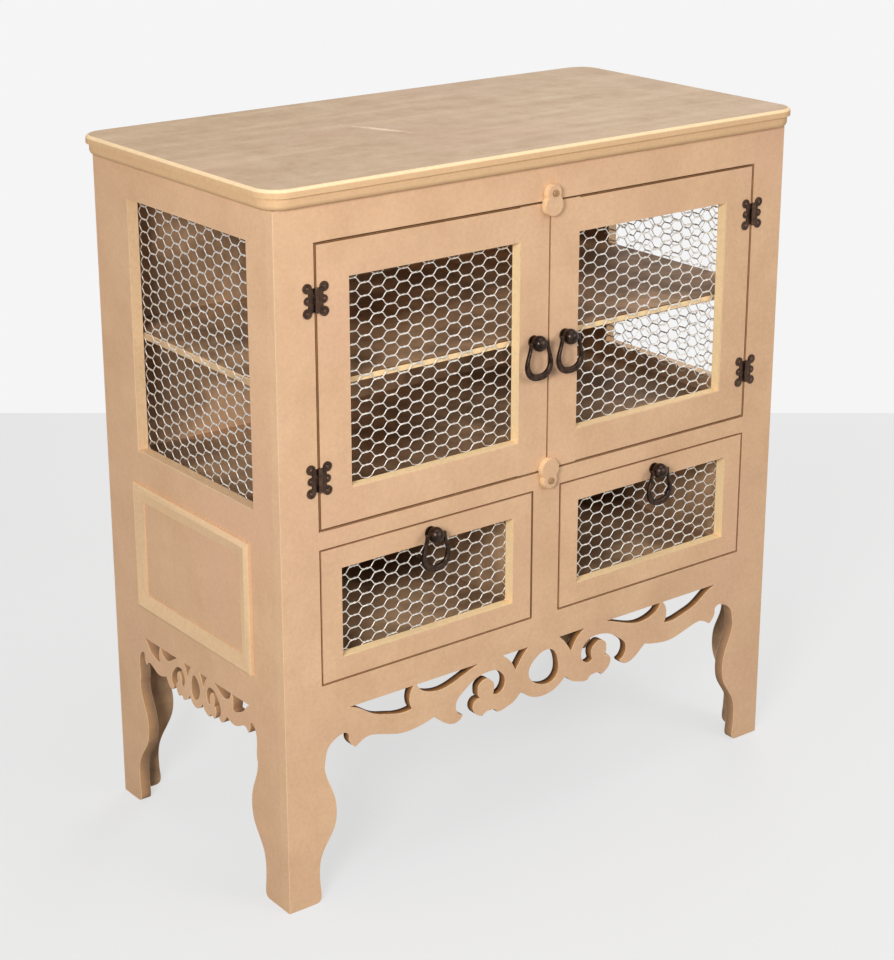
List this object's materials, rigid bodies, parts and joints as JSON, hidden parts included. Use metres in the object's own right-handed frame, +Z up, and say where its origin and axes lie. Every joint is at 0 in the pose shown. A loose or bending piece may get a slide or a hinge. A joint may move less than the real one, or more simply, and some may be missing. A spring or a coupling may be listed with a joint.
{
  "type": "cupboard",
  "caption": "Low cupboard of raw board with netted doors and sides, a shelf, netted drawers, ring pulls, turn buttons and a fretted apron on sawn legs.",
  "frame": {"origin": "on the floor under the middle of the whole cupboard, from the fronts of the pulls to the back edge of the top", "axes": "+X to the right along the front, +Y to the back, +Z up"},
  "size_m": [0.828, 0.436, 0.9],
  "materials": {
    "raw_board": "bare",
    "inside_board": "bare",
    "drawer_box": "bare",
    "button_wood": "bare",
    "netting": "galvanised",
    "dark_hardware": "satin"
  },
  "bodies": {
    "root": {"top_board": "raw_board", "back_board": "raw_board", "front_leg_left": "raw_board", "front_leg_right": "raw_board", "front_top_rail": "raw_board", "front_middle_rail": "raw_board", "drawer_divider": "raw_board", "front_apron": "raw_board", "side_board_left": "raw_board", "side_board_right": "raw_board", "panel_moulding_left": "raw_board", "panel_moulding_right": "raw_board", "side_net_left": "netting", "side_net_right": "netting", "shelf": "inside_board", "shelf_pins": "inside_board", "cupboard_floor": "inside_board", "bottom_board": "inside_board", "drawer_guide_left": "inside_board", "drawer_guide_centre": "inside_board", "drawer_guide_right": "inside_board", "hinge_frame_leaves": "dark_hardware", "hinge_pins": "dark_hardware", "button_screws": "dark_hardware"},
    "left_door": {"left_door_hinge_stile": "raw_board", "left_door_meeting_stile": "raw_board", "left_door_top_rail": "raw_board", "left_door_bottom_rail": "raw_board", "left_door_net": "netting", "left_door_hinge_leaves": "dark_hardware", "left_door_pull_knob": "dark_hardware"},
    "left_door_bail": {"left_door_pull_bail": "dark_hardware"},
    "left_drawer": {"left_drawer_front": "raw_board", "left_drawer_net": "netting", "left_drawer_inner_side": "drawer_box", "left_drawer_outer_side": "drawer_box", "left_drawer_back": "drawer_box", "left_drawer_bottom": "drawer_box", "left_drawer_pull_knob": "dark_hardware"},
    "left_drawer_bail": {"left_drawer_pull_bail": "dark_hardware"},
    "right_door": {"right_door_hinge_stile": "raw_board", "right_door_meeting_stile": "raw_board", "right_door_top_rail": "raw_board", "right_door_bottom_rail": "raw_board", "right_door_net": "netting", "right_door_hinge_leaves": "dark_hardware", "right_door_pull_knob": "dark_hardware"},
    "right_door_bail": {"right_door_pull_bail": "dark_hardware"},
    "right_drawer": {"right_drawer_front": "raw_board", "right_drawer_net": "netting", "right_drawer_inner_side": "drawer_box", "right_drawer_outer_side": "drawer_box", "right_drawer_back": "drawer_box", "right_drawer_bottom": "drawer_box", "right_drawer_pull_knob": "dark_hardware"},
    "right_drawer_bail": {"right_drawer_pull_bail": "dark_hardware"},
    "turn_button_top_body": {"turn_button_top": "button_wood"},
    "turn_button_bottom_body": {"turn_button_bottom": "button_wood"}
  },
  "joints": [
    {"name": "left_door_hinge", "type": "hinge", "parent": "root", "child": "left_door", "pos_m": [-0.345, -0.1989, 0.659], "axis": [0, 0, -1], "range_deg": [0, 165]},
    {"name": "right_door_hinge", "type": "hinge", "parent": "root", "child": "right_door", "pos_m": [0.345, -0.1989, 0.659], "axis": [0, 0, 1], "range_deg": [0, 165]},
    {"name": "left_drawer_slide", "type": "slide", "parent": "root", "child": "left_drawer", "axis": [0, -1, 0], "range_m": [0, 0.23]},
    {"name": "right_drawer_slide", "type": "slide", "parent": "root", "child": "right_drawer", "axis": [0, -1, 0], "range_m": [0, 0.23]},
    {"name": "left_door_bail_swing", "type": "hinge", "parent": "left_door", "child": "left_door_bail", "pos_m": [-0.025, -0.208, 0.659], "axis": [-1, 0, 0], "range_deg": [-10, 185]},
    {"name": "left_drawer_bail_swing", "type": "hinge", "parent": "left_drawer", "child": "left_drawer_bail", "pos_m": [-0.18425, -0.208, 0.4475], "axis": [-1, 0, 0], "range_deg": [-10, 185]},
    {"name": "right_door_bail_swing", "type": "hinge", "parent": "right_door", "child": "right_door_bail", "pos_m": [0.025, -0.208, 0.659], "axis": [-1, 0, 0], "range_deg": [-10, 185]},
    {"name": "right_drawer_bail_swing", "type": "hinge", "parent": "right_drawer", "child": "right_drawer_bail", "pos_m": [0.18425, -0.208, 0.4475], "axis": [-1, 0, 0], "range_deg": [-10, 185]},
    {"name": "turn_button_top_turn", "type": "hinge", "parent": "root", "child": "turn_button_top_body", "pos_m": [0, -0.2003, 0.842], "axis": [0, 1, 0], "continuous": true},
    {"name": "turn_button_bottom_turn", "type": "hinge", "parent": "root", "child": "turn_button_bottom_body", "pos_m": [0, -0.2003, 0.4745], "axis": [0, 1, 0], "continuous": true}
  ]
}
